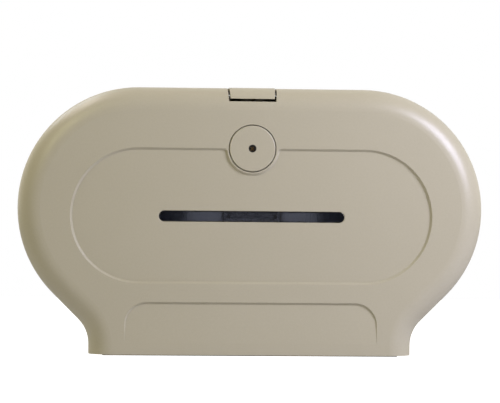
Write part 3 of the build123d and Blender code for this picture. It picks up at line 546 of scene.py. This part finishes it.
smoke_lens = smoke("smoke_lens", (0.008, 0.009, 0.013), 0.62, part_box("lens_bar")[1].x)
matt_black = moulded("matt_black", (0.008, 0.008, 0.009), 0.7, shine=0.15)
dress(smoke_lens, "window_lens")
dress(grey_plastic, "lens_bar")
dress(matt_black, "lens_rivets")
dress(plated_steel, "lens_push_nuts")

# Lock
# A disc flush with the cover turns with its shaft and the arm behind it. A housing with two screws
# carries the shaft. The key grips a small brass cross in the hole. A black sleeve lines the hole as
# painted shade, so that its walls show dark as if they were shaded.
dress(cover_plastic, "lock_disc")
brass = plated("brass", (0.30, 0.20, 0.08), (0.22, 0.13, 0.05), 0.45)
dress(brass, "key_socket")
dress(chassis_plastic, "lock_housing")
dress(plated_steel, "lock_cam", "cam_washer")
dress(oiled_steel, "lock_shaft")
pan_screws("lock_housing_screws", "cover", short_screw, (0, -1, 0))
pan_screws("cam_screw", "lock", end_screw, (0, -1, 0))
lock_low, lock_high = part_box("lock_disc")
lock_height = (lock_low.z + lock_high.z) / 2
# Sizes of the black sleeve in the keyhole. It is painted shade that darkens the hole's walls, which
# are only shaded.
shade_sleeve_outer = 4.33e-3
shade_sleeve_inner = 4.0e-3
shade_sleeve_inset = 0.1e-3
shade_sleeve_length = 5.4e-3
shade_sleeve_front = lock_low.y + shade_sleeve_inset
shade_sleeve_back = shade_sleeve_front + shade_sleeve_length
shade_sleeve_sides = 48
lip_steps = 8


def keyhole_shade_sleeve():
    """A thin black sleeve with a rounded lip in the keyhole: painted shade on the hole's walls."""
    lip = (shade_sleeve_outer - shade_sleeve_inner) / 2
    middle = (shade_sleeve_outer + shade_sleeve_inner) / 2
    outline = [(shade_sleeve_inner, shade_sleeve_back), (shade_sleeve_outer, shade_sleeve_back)]
    for step in range(lip_steps + 1):
        a = pi * step / lip_steps
        outline.append((middle + lip * cos(a), shade_sleeve_front + lip - lip * sin(a)))
    bm = bmesh.new()
    loops = []
    for side in range(shade_sleeve_sides):
        a = 2 * pi * side / shade_sleeve_sides
        corners = [(r * cos(a), y, lock_height + r * sin(a)) for r, y in outline]
        loops.append([bm.verts.new(corner) for corner in corners])
    for one, two in zip(loops, loops[1:] + loops[:1]):
        for i in range(len(outline)):
            j = (i + 1) % len(outline)
            bm.faces.new((one[i], one[j], two[j], two[i]))
    bmesh.ops.recalc_face_normals(bm, faces=bm.faces)
    mesh = bpy.data.meshes.new("keyhole_shade_sleeve")
    bm.to_mesh(mesh)
    bm.free()
    mesh.shade_smooth()
    mesh.set_sharp_from_angle(angle=smooth_angle)
    return mesh


# The black sleeve is put in the keyhole as painted shade, so that the hole looks dark.
shade_sleeve = bpy.data.objects.new("keyhole_shade_sleeve", keyhole_shade_sleeve())
bpy.context.scene.collection.objects.link(shade_sleeve)
shade_sleeve.data.materials.append(black_plastic)
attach(shade_sleeve, "lock")

# Floor
# A plain pale floor, far enough under the hanging object for its cover to swing down. It runs on
# into a white sweep, so that its far edge doesn't show. Its glow is only seen, and lights nothing.
floor_size = 6.0
cover_drop = 0.13
floor_z = cad_box[0].z - cover_drop
floor_colour = (0.55, 0.55, 0.57)
floor_roughness = 0.8
scuff_size = 0.3
scuff_tone = 0.04
sweep_start = 0.35
sweep_end = 1.1
near_glow = (0.55, 0.56, 0.64)
far_glow = (1.0, 1.0, 1.0)


def floor_mesh():
    """One flat square under the object."""
    bm = bmesh.new()
    corners = ((-1, -1), (1, -1), (1, 1), (-1, 1))
    bm.faces.new([bm.verts.new((x * floor_size, y * floor_size, floor_z)) for x, y in corners])
    mesh = bpy.data.meshes.new("floor")
    bm.to_mesh(mesh)
    bm.free()
    return mesh


def floor_paint():
    """Matt pale paint with faint scuffs, and the glow of the sweep that only the camera sees."""
    finish = Finish(bpy.data.materials.new("floor_paint"))
    settings = {"operation": "LENGTH"}
    away = finish.node("ShaderNodeVectorMath", settings, {0: finish.place}, output="Value")
    lit = finish.clamp(away, sweep_start, sweep_end)
    scuffs = finish.noise(scuff_size, detail=3.0)
    seen = finish.node("ShaderNodeLightPath", output="Is Camera Ray")
    return finish.surface({
        "Base Color": finish.tone(floor_colour, 1 + scuffs.swing(scuff_tone)),
        "Roughness": floor_roughness,
        "Emission Color": finish.tone(finish.mix(lit, near_glow, far_glow), seen),
        "Emission Strength": 1.0,
    })


floor = bpy.data.objects.new("floor", floor_mesh())
bpy.context.scene.collection.objects.link(floor)
floor.data.materials.append(floor_paint())

# Studio light
# A soft key light stands near at the right, a wide warm one fills from the left, and two more light
# the left side and rim from above and behind. The room is white behind the object, cream at its
# left and dim yellow at its right, but the camera sees plain white.
light_aim = Vector((0, -0.07, -0.02))


def soft_light(name, azimuth, height, distance, size, power, colour):
    """A round soft light. Its angles in degrees go from the front towards the right, and up."""
    data = bpy.data.lights.new(name, "AREA")
    data.shape = "DISK"
    data.size = size
    data.energy, data.color = power, colour
    light = bpy.data.objects.new(name, data)
    turn, rise = radians(azimuth), radians(height)
    way = Vector((sin(turn) * cos(rise), -cos(turn) * cos(rise), sin(rise)))
    light.location = light_aim + way * distance
    light.rotation_euler = way.to_track_quat("Z", "Y").to_euler()
    bpy.context.scene.collection.objects.link(light)


# Name, way round, height, distance, width, power and colour
soft_light("key", 50, 27, 1.4, 0.7, 19.1, (1.0, 1.0, 1.30))
soft_light("fill", -45, 35, 2.3, 1.2, 11.0, (1.0, 0.94, 0.50))
soft_light("left edge", -100, 60, 2.3, 0.8, 11.5, (1.0, 0.9, 0.85))
soft_light("left rim", -135, 45, 2.0, 1.0, 8.0, (1.0, 1.0, 1.1))
card_place = (0.0885, -1.63, 0.002)
card_size = (0.235, 0.12)
card_power = 0.19
card_colour = (0.9, 0.95, 1.2)


def window_card():
    """A pale card in front of the window. It is only seen as its reflection in the glossy lens."""
    data = bpy.data.lights.new("window card", "AREA")
    data.shape = "RECTANGLE"
    data.size, data.size_y = card_size
    data.energy, data.color = card_power, card_colour
    card = bpy.data.objects.new("window card", data)
    card.location = card_place
    card.rotation_euler = (pi / 2, 0, 0)
    card.visible_camera = card.visible_diffuse = False
    bpy.context.scene.collection.objects.link(card)


window_card()
room_sides = (
    ((0, 1, 0), (0.85, 0.84, 0.82)),
    ((-1, 0, 0), (0.75, 0.70, 0.60)),
    ((1, 0, 0), (0.35, 0.32, 0.10)),
)


def studio(sides):
    """White where the camera looks. Each side's light is strongest along the side's direction."""
    finish = Finish(bpy.data.worlds.new("studio"))
    way = finish.node("ShaderNodeTexCoord", output="Generated")
    light = (0, 0, 0)
    for direction, colour in sides:
        facing = {0: way, 1: direction}
        share = finish.node("ShaderNodeVectorMath", {"operation": "DOT_PRODUCT"}, facing, "Value")
        share = finish.node("ShaderNodeMath", {"operation": "MAXIMUM"}, {0: share, 1: 0.0})
        both = {0: light, 1: finish.tone(colour, share)}
        light = finish.node("ShaderNodeVectorMath", {"operation": "ADD"}, both)
    seen = finish.node("ShaderNodeLightPath", output="Is Camera Ray")
    shown = finish.mix(seen, light, (1, 1, 1))
    backdrop = finish.node("ShaderNodeBackground", None, {"Color": shown})
    finish.node("ShaderNodeOutputWorld", None, {"Surface": backdrop})
    return finish.owner


bpy.context.scene.world = studio(room_sides)

# Camera
# It stands about 2.4 m in front, a little to the left, and looks level. The numbers come from
# fitting the photograph's outline, its panel edges and its window.
camera_place = (-0.1407, -2.5121, -0.0251)
camera_yaw = radians(3.327)
camera_pitch = radians(0.793)
camera_roll = radians(0.498)
focal_pixels = 2146.0
picture_width = 500
sensor_width = 36.0

camera_data = bpy.data.cameras.new("camera")
camera_data.sensor_width = sensor_width
camera_data.lens = sensor_width * focal_pixels / picture_width
camera = bpy.data.objects.new("camera", camera_data)
camera.location = camera_place
turn = Matrix.Rotation(-camera_yaw, 3, "Z") @ Matrix.Rotation(pi / 2 + camera_pitch, 3, "X")
camera.rotation_euler = (turn @ Matrix.Rotation(camera_roll, 3, "Z")).to_euler()
bpy.context.scene.collection.objects.link(camera)
bpy.context.scene.camera = camera
bpy.context.scene.view_settings.view_transform = "Standard"
